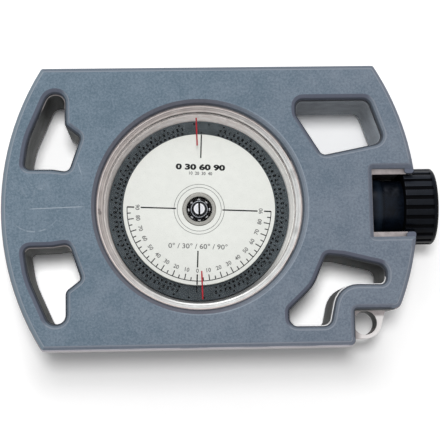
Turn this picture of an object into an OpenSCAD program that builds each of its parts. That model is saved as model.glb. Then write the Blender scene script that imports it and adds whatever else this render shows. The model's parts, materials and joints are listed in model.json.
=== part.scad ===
// Optical sighting clinometer, lying on its back: +Z out of the dial, +X towards the eyepiece.
// The origin is on the dial's axis, in the plane of the back. Sizes are in millimetres.

/* [Body] */
// Reach of the body to the left of the dial's axis
left_reach = 59.3; // [58.3:0.5:63.3]
// Reach of the body to the right, before the eyepiece notch is cut
right_reach = 65.7; // [64.7:0.5:69.2]
// Radius of both rounded ends
end_r = 80.8; // [74.8:1:90.8]
// Half of the body's height
half_h = 42.5; // [41.5:0.5:47]
// Thickness over both skins
body_t = 26; // [25.5:0.5:30]
// Radius of the skin's outer corners
edge_r = 0.8; // [0.4:0.1:1.5]

/* [Skins] */
// Thickness of each rubber skin
skin_t = 2.8; // [2.2:0.1:3]
// Width and height of the bevel along every edge of a skin
bevel = 1.35; // [0.8:0.05:1.8]
// How far the metal stands proud of the skin's edges
metal_step = 0.3; // [0.1:0.05:0.5]
// Gap between the front skin and the bezel ring
dial_gap = 0.26; // [0.2:0.02:0.6]
// Gap between the rear skin and the rear cover
cover_gap = 0.5; // [0.3:0.1:1]

/* [Eyepiece notch] */
// Height of the line of sight above the dial's axis
sight_y = 0.3; // [-1:0.1:1.5]
// Where the notch begins, from the dial's axis
notch_x = 52.2; // [51:0.2:54]
// Half of the notch's height in the skins
notch_half = 10.4; // [9.8:0.1:11]
// Half of the notch's height in the metal
slot_half = 8.8; // [8.6:0.1:9.2]
// Length of the rubber ears at the notch's mouth
ear_length = 2.8; // [2:0.1:3.4]

/* [Lanyard corner] */
// Where the square corner notch begins, from the dial's axis
corner_x = 45.7; // [44.9:0.2:47.5]
// Height of the corner notch
corner_h = 10.85; // [10.45:0.1:11.45]
// Distance of the lanyard hole from the notch's upright edge
lanyard_in = 4.15; // [4:0.05:4.6]
// Distance of the lanyard hole from the notch's level edge
lanyard_down = 3.95; // [3.95:0.05:4.4]
// Radius of the lanyard hole
lanyard_r = 3.6; // [3:0.05:3.6]
// Metal round the lanyard hole
lug_wall = 1.1; // [1:0.1:1.6]
// Thickness of the lanyard lug
lug_t = 9; // [6:0.5:14]

/* [Capsule front] */
// Radius of the capsule's bore
capsule_r = 29.1; // [28.9:0.1:29.4]
// Width of the bezel ring outside the capsule's bore
bezel_w = 1.76; // [1.6:0.02:1.9]
// Depth of the bezel ring
bezel_h = 1.1; // [0.9:0.1:1.6]
// How far the bezel lies below the metal's front face
bezel_sunk = 0.2; // [0.1:0.05:0.4]
// Thickness of the crystal
crystal_t = 1.5; // [1:0.1:2]
// Thickness of the gasket under the crystal
gasket_t = 0.9; // [0.6:0.1:1.2]
// Width of the red index lines
index_w = 0.42; // [0.3:0.02:0.6]
// Inner end of the index lines
index_in = 19.2; // [18:0.1:22]
// Outer end of the index lines
index_out = 27.8; // [26:0.1:28.5]
// Turn of the index lines
index_turn = 1.1; // [0:0.1:3]

/* [Capsule back] */
// Width of the rear cover outside the capsule's bore
cover_rim = 6.9; // [6.4:0.1:7.9]
// Depth of the rear cover's seat in the metal
cover_sunk = 1.2; // [0.8:0.1:2]
// Thickness of the rear cover's floor
cover_floor = 2.2; // [1.8:0.1:2.6]
// Height of the plug on the rear cover
plug_h = 1.7; // [1.2:0.1:2.4]
// Number of rear cover screws
cover_screws = 6; // [4:1:8]
// Distance of the rear cover screws from the cover's edge
screw_in = 3; // [2.8:0.1:3.4]
// Shank radius of the rear cover screws
screw_r = 1.25; // [1:0.05:1.4]
// Length of the rear cover screws
screw_l = 7; // [5:0.5:9]

/* [Wheel] */
// Depth of the white dial face below the metal's front face
face_drop = 6.1; // [5.8:0.1:6.6]
// Radius of the white dial face
face_r = 23.3; // [22:0.1:25]
// Height of the white dial face above the dark ring
face_h = 2.5; // [2:0.1:3]
// Thickness of the dial face's plate
face_t = 0.8; // [0.5:0.1:1.2]
// Outer radius of the scale drum
drum_r = 27.9; // [27:0.1:28.2]
// Height of the scale drum's rim
rim_h = 5.6; // [5:0.1:6]
// Wall of the scale drum's rim
rim_t = 0.7; // [0.5:0.1:1]
// Thickness of the scale drum's web
web_t = 1.2; // [0.8:0.1:1.6]
// Turn of the wheel when it lies at rest
wheel_turn = -2.65; // [-10:0.05:10]
// Width of the counterweight's arc in degrees
weight_arc = 110; // [80:5:150]
// Height of the counterweight
weight_h = 3.6; // [2.5:0.1:4]
// Length of the damping magnets
magnet_h = 4.6; // [3:0.1:5]
// Radius of the damping magnets
magnet_r = 2.4; // [1.5:0.1:2.6]

/* [Bearing] */
// Bore radius of the ball bearing
bearing_bore_r = 1.5; // [1.4:0.05:1.6]
// Outer radius of the ball bearing
bearing_r = 5; // [4.9:0.05:5.2]
// Width of the ball bearing
bearing_w = 4; // [3.6:0.1:4.4]
// Radius of a bearing ball
ball_r = 0.794; // [0.7:0.01:0.8]
// Number of bearing balls
balls = 8; // [6:1:9]
// Head radius of the pivot screw
pivot_head_r = 1.95; // [1.7:0.05:2.1]

/* [Eyepiece] */
// Radius of the barrel's collar
collar_r = 8.5; // [8.3:0.1:8.6]
// Radius of the barrel inside the cap
barrel_r = 8.1; // [7.9:0.05:8.2]
// Bore radius of the barrel
barrel_bore_r = 6.6; // [6.4:0.05:6.8]
// Length of the collar
collar_l = 4.2; // [3:0.1:5]
// Length of the barrel outside the metal
barrel_l = 12.6; // [12.4:0.1:13]
// Depth of the barrel's seat in the metal
spigot_l = 8; // [6:0.5:10]
// Outer radius of the ribbed cap
cap_r = 11.8; // [11.3:0.1:11.9]
// Length of the ribbed cap
cap_l = 10; // [9.7:0.1:10.4]
// Distance from the notch's wall to the cap
cap_start = 10.2; // [10:0.1:10.5]
// Number of grip grooves round the cap
grooves = 24; // [18:1:28]
// Radius of a grip groove
groove_r = 0.75; // [0.5:0.05:0.9]
// Radius of the eye lens
lens_r = 5.5; // [5:0.1:5.6]
// Thickness of the eye lens at its middle
lens_t = 3; // [2:0.1:3.2]

/* [Fits] */
// Gap between pieces that are fixed to each other
seat_gap = 0.03; // [0.01:0.01:0.05]
// Radial gap of a running fit
run_gap = 0.05; // [0.02:0.01:0.1]
// Gap round pieces that move past each other
free_gap = 0.3; // [0.2:0.05:0.4]

/* [Hidden] */

// How far a cut runs past a face
over = 1;

// Levels of the sandwich
metal_back = skin_t;
metal_front = body_t - skin_t;
mid_z = body_t / 2;

// The height of the corner notch's level edge
corner_y = corner_h - half_h;

// Levels and radii of the capsule
bezel_r = capsule_r + bezel_w;
dial_opening_r = bezel_r + dial_gap;
cover_r = capsule_r + cover_rim;
screw_circle_r = cover_r - screw_in;
bezel_top = metal_front - bezel_sunk;
crystal_top = bezel_top - bezel_h;
crystal_back = crystal_top - crystal_t;
seat_z = crystal_back - gasket_t;
bezel_overlap = 0.1;
bezel_bore_r = capsule_r + bezel_overlap;
seal_t = 0.5;
seal_gap = 0.1;
seal_r = capsule_r + 1.5;
crystal_rim = 0.4;
cover_seat = metal_back + cover_sunk;
plug_top = cover_seat + plug_h;
plug_wall = 1.5;

// Levels of the wheel
face_top = metal_front - face_drop;
drum_top = face_top - face_h;
web_back = drum_top - web_t;
bearing_proud = 0.2;
bearing_top = face_top + bearing_proud;
bearing_back = bearing_top - bearing_w;
hub_r = 6.5;
hub_flange_r = 9;
hub_flange_t = 0.8;
hub_lip_t = 0.4;
hub_lip_gap = 0.2;
hub_top = face_top - face_t;

// The liner in the capsule's bore: close round the wheel, and opening towards the crystal
liner_r = drum_r + free_gap;
liner_out_r = capsule_r - seat_gap;
liner_edge = 0.2;
liner_rise = 0.4;
liner_step = drum_top + liner_rise;
liner_back = plug_top + over;
liner_top = seat_z - seal_gap;
port_w = 9;
port_margin = 0.2;
port_low = drum_top - rim_h + port_margin;
port_high = drum_top - port_margin;
weight_in_r = 14;
weight_screw_r = 1;
weight_head_r = 2;
weight_head_t = 1.2;
weight_gap = 1.3;
weight_out_r = drum_r - rim_t - weight_gap;
magnet_circle_r = 10;

// The pivot: a post in a blind seat of the rear cover, with a screw in its end
boss_wall = 0.6;
boss_r = magnet_circle_r + magnet_r + boss_wall;
post_spigot_r = 2.2;
post_depth = 0.9;
post_seat = cover_floor - post_depth;
post_flange_t = 1;
post_flange_r = 5.6;
post_shaft_r = 2.3;
pivot_shank_r = 0.8;
pivot_shank_l = 2.5;
pivot_head_t = 0.7;
pivot_dome = 0.35;
screw_slot = 0.5;
slot_depth = 0.65;

// The bearing's races
race_mid_r = (bearing_bore_r + bearing_r) / 2;
race_gap = 0.04;
race_half = 0.65;
inner_race_r = race_mid_r - race_half;
outer_race_r = race_mid_r + race_half;
cage_gap = 0.15;
cage_drop = 0.4;
cage_rise = 0.6;
first_ball = 1;
ball_z = (bearing_top + bearing_back) / 2;

// Places along the line of sight
cap_x = notch_x + cap_start;
cap_end = cap_x + cap_l;
barrel_end = notch_x + barrel_l;
cap_bore_r = barrel_r - 0.7;
cap_chamfer = 0.6;
eye_cup = 1.4;
eye_cup_flare = 1.9;
retaining_lip = 0.2;
groove_out = 0.2;
groove_end = 1.3;
flange_t = 1.7;
ring_t = 0.8;
lip_t = 1;
focus_in = 1;
lip_gap = 0.4;
lip_x = barrel_end + focus_in + lip_gap;
flange_x = lip_x + lip_t + run_gap;
ring_x = flange_x + flange_t + run_gap;
cell_r = barrel_bore_r - run_gap;
cell_bore_r = lens_r + seat_gap;
lens_rim = 0.7;
lens_clear_r = lens_r - lens_rim;
lens_stop = 0.1;
lens_edge_t = 0.4 * lens_t;
cell_in = 6.3;
cell_x = notch_x + cell_in;
lens_set_back = 0.3;
shoulder_x = flange_x - lens_t - lens_set_back;
shoulder_t = 1;
retainer_t = 1.2;
o_ring_r = 0.35;
o_ring_gap = 0.02;
o_ring_mid_r = barrel_bore_r - o_ring_gap - o_ring_r;
o_ring_in = 1.6;
o_ring_x = cell_x + o_ring_in;
path_r = 5;
window_r = 6;
window_t = 1.5;
window_wall = 0.5;
window_x = capsule_r + window_wall;
window_gasket_t = 0.7;
spigot_r = 7;
index_t = 0.06;
hairline_w = 0.12;
hairline_t = 0.06;
hairline_h = 9;
barrel_step = 0.4;
barrel_step_l = 2;

// Steps of a rounded corner and of an end arc
corner_n = 6;
end_n = 12;

// Outlines are lists of corners [x, y, radius]. A radius of 0 is a plain point.
function unit(v) = v / norm(v);
function xy(c) = [c[0], c[1]];
function side(u, v) = sign(u.x * v.y - u.y * v.x);
function around(list, i) = list[(i + len(list)) % len(list)];
function corner_points(a, b, c) =
    b[2] == 0 ? [xy(b)] :
    let (
        u = unit(xy(b) - xy(a)),
        v = unit(xy(c) - xy(b)),
        s = side(u, v),
        turn = acos(u * v),
        middle = xy(b) - u * b[2] * tan(turn / 2) + s * b[2] * [-u.y, u.x],
        first = atan2(-s * u.x, s * u.y)
    )
    [for (k = [0:corner_n])
        let (t = first + s * turn * k / corner_n)
        middle + b[2] * [cos(t), sin(t)]];
function loop(list) =
    [for (i = [0:len(list) - 1]) each corner_points(around(list, i - 1), list[i], around(list, i + 1))];

// Moves every side of an anticlockwise outline inwards by d, or outwards where d is negative
function moved(list, d) =
    [for (i = [0:len(list) - 1])
        let (
            u = unit(xy(list[i]) - xy(around(list, i - 1))),
            v = unit(xy(around(list, i + 1)) - xy(list[i])),
            nu = [-u.y, u.x],
            nv = [-v.y, v.x],
            p = xy(list[i]) + d * (nu + nv) / (1 + nu * nv),
            r = list[i][2] == 0 ? 0 : max(list[i][2] - d * side(u, v), 0.15)
        )
        [p.x, p.y, r]];
function backwards(list) = [for (i = [len(list) - 1:-1:0]) list[i]];

// The body's outline, with the eyepiece notch and the lanyard corner
function left_x(y) = end_r - left_reach - sqrt(pow(end_r, 2) - pow(y, 2));
function right_x(y) = right_reach - end_r + sqrt(pow(end_r, 2) - pow(y, 2));
function arc_y(a, b, k) = a + (b - a) * k / end_n;
function body_corners(half) =
    let (low = sight_y - half, high = sight_y + half)
    [
        [left_x(-half_h), -half_h, edge_r],
        [corner_x, -half_h, 2 * edge_r],
        [corner_x, corner_y, edge_r],
        [right_x(corner_y), corner_y, 3 * edge_r],
        for (k = [2:end_n - 1]) [right_x(arc_y(corner_y, low, k)), arc_y(corner_y, low, k), 0],
        [right_x(low), low, edge_r / 2],
        [notch_x, low, edge_r / 2],
        [notch_x, high, edge_r / 2],
        [right_x(high), high, edge_r / 2],
        for (k = [1:end_n - 1]) [right_x(arc_y(high, half_h, k)), arc_y(high, half_h, k), 0],
        [right_x(half_h), half_h, edge_r],
        [left_x(half_h), half_h, edge_r],
        for (k = [1:2 * end_n - 1])
            [left_x(arc_y(half_h, -half_h, k / 2)), arc_y(half_h, -half_h, k / 2), 0]
    ];

// Finger openings: corners as [distance from the end, distance from the edge, radius], clockwise
left_opening = [
    [14.1, 7.4, 3.2], [19.2, 7.9, 2.9], [19.2, 17.4, 2], [23.9, 21, 1.6],
    [20.2, 31.7, 2.2], [15.1, 30.9, 4], [6.5, 30.8, 1.8], [7.8, 21.8, 25]
];
upper_right_opening = [
    [36.1, 10.3, 2.2], [13.8, 10.3, 2.8], [9.1, 23.8, 2.8], [28.3, 27.6, 2.2], [36.1, 14.9, 3]
];
lower_right_opening = [
    [28.1, 27.4, 1.6], [23, 26.9, 10], [9.9, 23.7, 3], [10.2, 18.1, 1.8], [24.5, 18.4, 7],
    [27.2, 5.9, 2.6], [39.7, 6, 2.6], [39.6, 11, 1.2], [32.2, 18, 12]
];
function in_left(list, edge_y, s) = [for (c = list) [c[0] - left_reach, edge_y + s * c[1], c[2]]];
function in_right(list, edge_y, s) = [for (c = list) [right_reach - c[0], edge_y + s * c[1], c[2]]];
OPENINGS = [
    backwards(in_left(left_opening, half_h, -1)),
    in_left(left_opening, -half_h, 1),
    backwards(in_right(upper_right_opening, half_h, -1)),
    backwards(in_right(lower_right_opening, -half_h, 1))
];

// A closed tube through three rings of points, each [points, z], that have the same number of points
module ring_tube(rings) {
    n = len(rings[0][0]);
    points = [for (ring = rings) each [for (p = ring[0]) [p.x, p.y, ring[1]]]];
    faces = [for (j = [0:2], i = [0:n - 1])
        let (k = (i + 1) % n, up = (j + 1) % 3 * n)
        [j * n + i, up + i, up + k, j * n + k]];
    polyhedron(points = points, faces = faces, convexity = 8);
}

// Cuts the bevel along an outline, where s is 1 round a solid and -1 round an opening
module bevel_cut(corners, s) {
    past = 0.3;
    outer = loop(moved(corners, -s * past));
    inner = loop(moved(corners, s * (bevel + past)));
    foot = [outer, skin_t - bevel - past];
    top_out = [outer, skin_t + past];
    top_in = [inner, skin_t + past];
    ring_tube(s > 0 ? [foot, top_out, top_in] : [foot, top_in, top_out]);
}

// Turns a shape drawn along +Z to lie along +X on the line of sight
module on_sight(x) {
    translate([x, sight_y, mid_z]) rotate([0, 90, 0]) children();
}

module tube(r_out, r_in, z0, z1) {
    translate([0, 0, z0]) difference() {
        cylinder(r = r_out, h = z1 - z0, $fn = 180);
        translate([0, 0, -over]) cylinder(r = r_in, h = z1 - z0 + 2 * over, $fn = 180);
    }
}

module disc(r, z0, z1) {
    translate([0, 0, z0]) cylinder(r = r, h = z1 - z0, $fn = 180);
}

// One skin, drawn with its bevelled side up from z = 0 to skin_t
module skin(window_r) {
    body = body_corners(notch_half);
    lip = skin_t - bevel;
    difference() {
        linear_extrude(height = skin_t) polygon(loop(body));
        for (c = OPENINGS)
            translate([0, 0, -over]) linear_extrude(height = skin_t + 2 * over) polygon(loop(c));
        bevel_cut(body, 1);
        for (c = OPENINGS) bevel_cut(c, -1);
        rotate_extrude($fn = 180) polygon([
            [0, -over], [window_r, -over], [window_r, lip],
            [window_r + bevel + over, skin_t + over], [0, skin_t + over]
        ]);
    }
    for (s = [-1, 1]) ear(s, lip - metal_step / 2);
}

// A rubber ear that narrows the mouth of the eyepiece notch to the slot in the metal
module ear(s, h) {
    y0 = sight_y + s * notch_half;
    y1 = sight_y + s * (slot_half + metal_step / 2);
    tip = right_x(y1);
    linear_extrude(height = h) polygon(loop([
        [tip - ear_length, y0 + s, 0], [tip - ear_length, y1, edge_r],
        [tip, y1, edge_r], [right_x(y0), y0, 0], [right_x(y0) - edge_r, y0 + s, 0]
    ]));
}

module front_skin() {
    color([0.43, 0.48, 0.54]) translate([0, 0, metal_front]) skin(dial_opening_r);
}

module rear_skin() {
    color([0.43, 0.48, 0.54])
        translate([0, 0, metal_back]) mirror([0, 0, 1]) skin(cover_r + cover_gap);
}

// Corners of the lanyard lug, which is rooted in the body
function lug_corners() =
    let (
        lug_r = lanyard_r + lug_wall,
        root = 2,
        flare = 1.7,
        hole = [corner_x + lanyard_in, corner_y - lanyard_down],
        low = hole.y - lug_r,
        far = hole.x + lug_r
    )
    [
        [corner_x - root, low, 0], [far - flare / 2, low, lug_r], [far + flare, corner_y + root / 4, 0],
        [far + flare, corner_y + root, 0], [corner_x - root, corner_y + root, 0]
    ];

module chassis() {
    color([0.62, 0.62, 0.6]) difference() {
        union() {
            translate([0, 0, metal_back]) linear_extrude(height = metal_front - metal_back)
                polygon(loop(moved(body_corners(slot_half + metal_step), -metal_step)));
            translate([0, 0, mid_z - lug_t / 2]) linear_extrude(height = lug_t)
                polygon(loop(lug_corners()));
        }
        for (c = OPENINGS)
            translate([0, 0, metal_back - over])
                linear_extrude(height = metal_front - metal_back + 2 * over)
                polygon(loop(moved(c, metal_step)));
        translate([corner_x + lanyard_in, corner_y - lanyard_down, mid_z])
            cylinder(r = lanyard_r, h = lug_t + over, center = true, $fn = 96);
        capsule_space();
        sight_space();
    }
}

module capsule_space() {
    disc(capsule_r, metal_back - over, metal_front + over);
    disc(bezel_r + seat_gap, seat_z, metal_front + over);
    disc(cover_r + seat_gap, metal_back - over, cover_seat);
    disc(seal_r + seal_gap, metal_back - over, cover_seat + seal_t);
    cover_screw_places() translate([0, 0, cover_seat - over])
        cylinder(r = screw_r + seat_gap, h = screw_l - cover_seat + 2 * over, $fn = 48);
}

module sight_space() {
    on_sight(0) {
        disc(path_r, capsule_r - over, notch_x + over);
        disc(window_r + seat_gap, capsule_r / 2, window_x + window_t + window_gasket_t);
    }
    on_sight(notch_x - spigot_l) cylinder(r = spigot_r + seat_gap, h = spigot_l + over, $fn = 96);
    on_sight(cap_x - focus_in - 2 * free_gap) cylinder(r = cap_r + 2 * free_gap, h = cap_l, $fn = 96);
}

module cover_screw_places() {
    for (k = [0:cover_screws - 1])
        rotate((k + 0.5) * 360 / cover_screws) translate([screw_circle_r, 0, 0]) children();
}

// A thin ring whose port lets the eyepiece see the scale on the wheel's rim
module capsule_liner() {
    color([0.8, 0.79, 0.77]) difference() {
        rotate_extrude($fn = 180) polygon([
            [liner_r, liner_back], [liner_out_r, liner_back], [liner_out_r, liner_top],
            [liner_out_r - liner_edge, liner_top], [liner_r, liner_step]
        ]);
        translate([liner_r - over, sight_y - port_w / 2, port_low])
            cube([liner_out_r - liner_r + 2 * over, port_w, port_high - port_low]);
    }
}

// A bright rim, a fine groove, a second land and a slope down to the bore
module bezel_ring() {
    line = 0.15;
    slope = 0.05;
    rim = 0.4 * bezel_w;
    step_r = bezel_r - 0.65 * bezel_w;
    color([0.8, 0.79, 0.77]) rotate_extrude($fn = 240) polygon([
        [bezel_bore_r, crystal_top], [bezel_r, crystal_top], [bezel_r, bezel_top - line],
        [bezel_r - line, bezel_top], [bezel_r - rim, bezel_top], [bezel_r - rim - slope, bezel_top - line],
        [step_r + line + slope, bezel_top - line], [step_r + line, bezel_top - slope],
        [step_r, bezel_top - slope], [step_r - slope, bezel_top - 2 * line],
        [bezel_bore_r + 2 * slope, bezel_top - 3 * line], [bezel_bore_r, bezel_top - 4 * line]
    ]);
}

module crystal() {
    color([0.85, 0.9, 0.92, 0.3]) disc(bezel_r - crystal_rim, crystal_back, crystal_top);
}

module index_lines() {
    color([0.75, 0.12, 0.15]) rotate(index_turn) for (s = [-1, 1])
        translate([-index_w / 2, s > 0 ? index_in : -index_out, crystal_back - index_t])
            cube([index_w, index_out - index_in, index_t]);
}

module crystal_gasket() {
    color([0.12, 0.12, 0.12]) tube(bezel_r - crystal_rim, capsule_r + seal_gap, seat_z, crystal_back);
}

module rear_cover() {
    color([0.6, 0.6, 0.58]) difference() {
        union() {
            disc(cover_r, 0, cover_seat);
            disc(capsule_r - seat_gap, metal_back, plug_top);
        }
        disc(post_spigot_r + seat_gap, post_seat, plug_top + over);
        tube(capsule_r - plug_wall, boss_r, cover_floor, plug_top + over);
        cover_screw_places() {
            translate([0, 0, -over]) cylinder(r = screw_r + seal_gap, h = cover_seat + 2 * over, $fn = 48);
            translate([0, 0, -over]) cylinder(
                r1 = 2 * screw_r + over + seat_gap, r2 = screw_r + seat_gap, h = screw_r + over, $fn = 48
            );
        }
    }
}

module rear_cover_screws() {
    color([0.75, 0.75, 0.74]) cover_screw_places() difference() {
        union() {
            cylinder(r1 = 2 * screw_r, r2 = screw_r, h = screw_r, $fn = 48);
            translate([0, 0, screw_r]) cylinder(r = screw_r, h = screw_l - screw_r, $fn = 48);
        }
        translate([-3 * screw_r, -screw_slot / 2, -over]) cube([6 * screw_r, screw_slot, over + slot_depth]);
    }
}

module rear_cover_gasket() {
    color([0.12, 0.12, 0.12]) tube(seal_r, capsule_r + seal_gap, cover_seat, cover_seat + seal_t);
}

module pivot_post() {
    color([0.7, 0.7, 0.68]) difference() {
        union() {
            disc(post_spigot_r, post_seat, plug_top);
            disc(post_flange_r, plug_top, plug_top + post_flange_t);
            disc(post_shaft_r, plug_top, bearing_back);
            disc(bearing_bore_r - seat_gap, bearing_back - over, bearing_top - seal_gap);
        }
        disc(pivot_shank_r + seat_gap, bearing_back - 1.2 * pivot_shank_l, bearing_top + over);
    }
}

module pivot_screw() {
    color([0.8, 0.8, 0.78]) difference() {
        union() {
            disc(pivot_shank_r, bearing_back - pivot_shank_l, bearing_top + pivot_head_t);
            translate([0, 0, bearing_top]) cylinder(r = pivot_head_r, h = pivot_head_t, $fn = 96);
            translate([0, 0, bearing_top + pivot_head_t])
                cylinder(r1 = pivot_head_r, r2 = pivot_head_r - pivot_dome, h = pivot_dome, $fn = 96);
        }
        translate([-screw_slot / 2, -2 * pivot_head_r, bearing_top + pivot_head_t + pivot_dome - slot_depth])
            cube([screw_slot, 4 * pivot_head_r, 2 * slot_depth]);
    }
}

// A torus-shaped groove for the balls
module race_groove() {
    translate([0, 0, ball_z]) rotate_extrude($fn = 120)
        translate([race_mid_r, 0]) circle(r = ball_r + race_gap, $fn = 48);
}

module bearing_inner_ring() {
    color([0.7, 0.7, 0.69]) difference() {
        tube(inner_race_r, bearing_bore_r, bearing_back, bearing_top);
        race_groove();
    }
}

module bearing_outer_ring() {
    color([0.6, 0.6, 0.6]) difference() {
        tube(bearing_r, outer_race_r, bearing_back, bearing_top);
        race_groove();
    }
}

module ball_places() {
    for (k = [0:balls - 1])
        rotate(first_ball + k * 360 / balls) translate([race_mid_r, 0, ball_z]) children();
}

module bearing_balls() {
    color([0.8, 0.8, 0.8]) ball_places() sphere(r = ball_r, $fn = 48);
}

module ball_cage() {
    color([0.15, 0.15, 0.16]) difference() {
        tube(outer_race_r - cage_gap, inner_race_r + cage_gap, bearing_back + cage_drop, ball_z + cage_rise);
        ball_places() sphere(r = ball_r + run_gap, $fn = 48);
    }
}

// Everything on the wheel lies turned by the same angle
module on_wheel() {
    rotate(wheel_turn) children();
}

module dial_face() {
    color([0.9, 0.9, 0.88]) on_wheel() union() {
        tube(face_r, bearing_r + cage_gap, hub_top, face_top);
        tube(face_r, face_r - face_t, drum_top, face_top);
    }
}

module scale_drum() {
    color([0.25, 0.27, 0.27]) on_wheel() difference() {
        union() {
            tube(drum_r, hub_r + seat_gap, web_back, drum_top);
            tube(drum_r, drum_r - rim_t, drum_top - rim_h, drum_top);
        }
        weight_screw_places() translate([0, 0, -over])
            cylinder(r = weight_screw_r + seat_gap, h = web_t + 2 * over, $fn = 48);
    }
}

module dial_hub() {
    color([0.7, 0.7, 0.68]) on_wheel() difference() {
        union() {
            disc(hub_r, bearing_back - hub_lip_t, hub_top);
            disc(hub_flange_r, web_back - hub_flange_t, web_back);
        }
        disc(outer_race_r + hub_lip_gap, web_back - hub_flange_t - over, hub_top + over);
        disc(bearing_r + seat_gap, bearing_back, hub_top + over);
    }
}

module weight_screw_places() {
    for (a = [-1, 1]) rotate(-90 + a * weight_arc / 4)
        translate([(weight_in_r + weight_out_r) / 2, 0, web_back]) children();
}

module counterweight() {
    color([0.72, 0.6, 0.35]) on_wheel() difference() {
        translate([0, 0, web_back - weight_h]) linear_extrude(height = weight_h) polygon(concat(
            [for (k = [0:24]) weight_out_r * [cos(weight_angle(k)), sin(weight_angle(k))]],
            [for (k = [24:-1:0]) weight_in_r * [cos(weight_angle(k)), sin(weight_angle(k))]]
        ));
        weight_screw_places() translate([0, 0, -weight_h - over]) {
            cylinder(r = weight_screw_r + seal_gap, h = weight_h + 2 * over, $fn = 48);
            cylinder(r = weight_head_r + seal_gap, h = weight_head_t + seal_gap + over, $fn = 48);
        }
    }
}
function weight_angle(k) = -90 + weight_arc * (k / 24 - 0.5);

module counterweight_screws() {
    color([0.75, 0.75, 0.74]) on_wheel() weight_screw_places() difference() {
        translate([0, 0, seal_gap - weight_h]) union() {
            cylinder(r = weight_head_r, h = weight_head_t, $fn = 48);
            cylinder(r = weight_screw_r, h = weight_h + web_t - 3 * seal_gap, $fn = 48);
        }
        translate([-2 * weight_head_r, -screw_slot / 2, -weight_h - over])
            cube([4 * weight_head_r, screw_slot, over + slot_depth]);
    }
}

module damping_magnets() {
    color([0.55, 0.55, 0.57]) for (s = [-1, 1])
        translate([s * magnet_circle_r, 0, plug_top]) cylinder(r = magnet_r, h = magnet_h, $fn = 64);
}

module scale_window() {
    color([0.85, 0.9, 0.92, 0.4]) on_sight(window_x) cylinder(r = window_r, h = window_t, $fn = 96);
}

module window_gasket() {
    color([0.12, 0.12, 0.12])
        on_sight(window_x + window_t) tube(window_r, path_r + free_gap, 0, window_gasket_t);
}

module hairline() {
    color([0.05, 0.05, 0.05])
        translate([window_x - hairline_t, sight_y - hairline_w / 2, mid_z - hairline_h / 2])
            cube([hairline_t, hairline_w, hairline_h]);
}

module eyepiece_barrel() {
    color([0.17, 0.19, 0.21]) on_sight(notch_x) difference() {
        union() {
            disc(spigot_r, -spigot_l, 2 * metal_step);
            disc(collar_r, metal_step, collar_l);
            disc(barrel_r, metal_step, barrel_l);
        }
        disc(path_r, -spigot_l - over, barrel_l + over);
        disc(barrel_bore_r - barrel_step, barrel_step_l - spigot_l, barrel_l + over);
        disc(barrel_bore_r, cell_in - barrel_step_l, barrel_l + over);
    }
}

module lens_cell() {
    color([0.1, 0.1, 0.11]) on_sight(0) difference() {
        union() {
            disc(cell_r, cell_x, flange_x + flange_t);
            disc(barrel_r - lens_stop, flange_x, flange_x + flange_t);
        }
        disc(lens_clear_r + lens_stop, cell_x - over, ring_x + over);
        disc(cell_bore_r, shoulder_x, ring_x + over);
        disc(cell_bore_r, cell_x - over, shoulder_x - shoulder_t);
        translate([0, 0, o_ring_x]) rotate_extrude($fn = 120)
            translate([o_ring_mid_r, 0]) circle(r = o_ring_r + seat_gap, $fn = 48);
        translate([0, 0, o_ring_x]) tube(cell_r + over, o_ring_mid_r, -o_ring_r, o_ring_r);
    }
}

// A biconvex lens with a flat rim that fits the cell
module eye_lens() {
    bulge = (lens_t - lens_edge_t) / 2;
    curve_r = (pow(lens_clear_r, 2) + pow(bulge, 2)) / (2 * bulge);
    color([0.8, 0.9, 0.95, 0.4]) on_sight(shoulder_x + lens_edge_t / 2) union() {
        cylinder(r = lens_r, h = lens_edge_t, center = true, $fn = 120);
        intersection() {
            translate([0, 0, lens_t / 2 - curve_r]) sphere(r = curve_r, $fn = 180);
            translate([0, 0, curve_r - lens_t / 2]) sphere(r = curve_r, $fn = 180);
            cylinder(r = lens_clear_r, h = lens_t, center = true, $fn = 120);
        }
    }
}

module lens_retainer() {
    start = shoulder_x + lens_edge_t;
    color([0.2, 0.2, 0.21]) on_sight(0) tube(lens_r, lens_clear_r + lens_stop, start, start + retainer_t);
}

module focus_o_ring() {
    color([0.08, 0.08, 0.08]) on_sight(o_ring_x) rotate_extrude($fn = 120)
        translate([o_ring_mid_r, 0]) circle(r = o_ring_r, $fn = 48);
}

module focus_cap() {
    color([0.13, 0.14, 0.16]) on_sight(0) difference() {
        union() {
            disc(cap_r, cap_x + cap_chamfer / 2, cap_end - cap_chamfer);
            translate([0, 0, cap_end - cap_chamfer])
                cylinder(r1 = cap_r, r2 = cap_r - cap_chamfer, h = cap_chamfer, $fn = 180);
            translate([0, 0, cap_x])
                cylinder(r1 = cap_r - cap_chamfer / 2, r2 = cap_r, h = cap_chamfer / 2, $fn = 180);
        }
        disc(barrel_r + run_gap, cap_x - over, lip_x);
        disc(cap_bore_r, lip_x - over, cap_end + over);
        disc(barrel_r + run_gap, lip_x + lip_t, cap_end - eye_cup);
        disc(barrel_r + cap_chamfer, ring_x, ring_x + ring_t);
        translate([0, 0, cap_end - eye_cup])
            cylinder(r1 = cap_bore_r, r2 = cap_bore_r + eye_cup_flare, h = eye_cup + seat_gap, $fn = 180);
        for (k = [0:grooves - 1]) rotate((k + 0.5) * 360 / grooves)
            translate([cap_r + groove_out, 0, cap_x - over])
                cylinder(r = groove_r, h = cap_l + over - groove_end, $fn = 32);
    }
}

module cap_retaining_ring() {
    color([0.3, 0.3, 0.32]) on_sight(0)
        tube(barrel_r + cap_chamfer - run_gap, cap_bore_r - retaining_lip, ring_x, ring_x + ring_t - run_gap);
}

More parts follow.
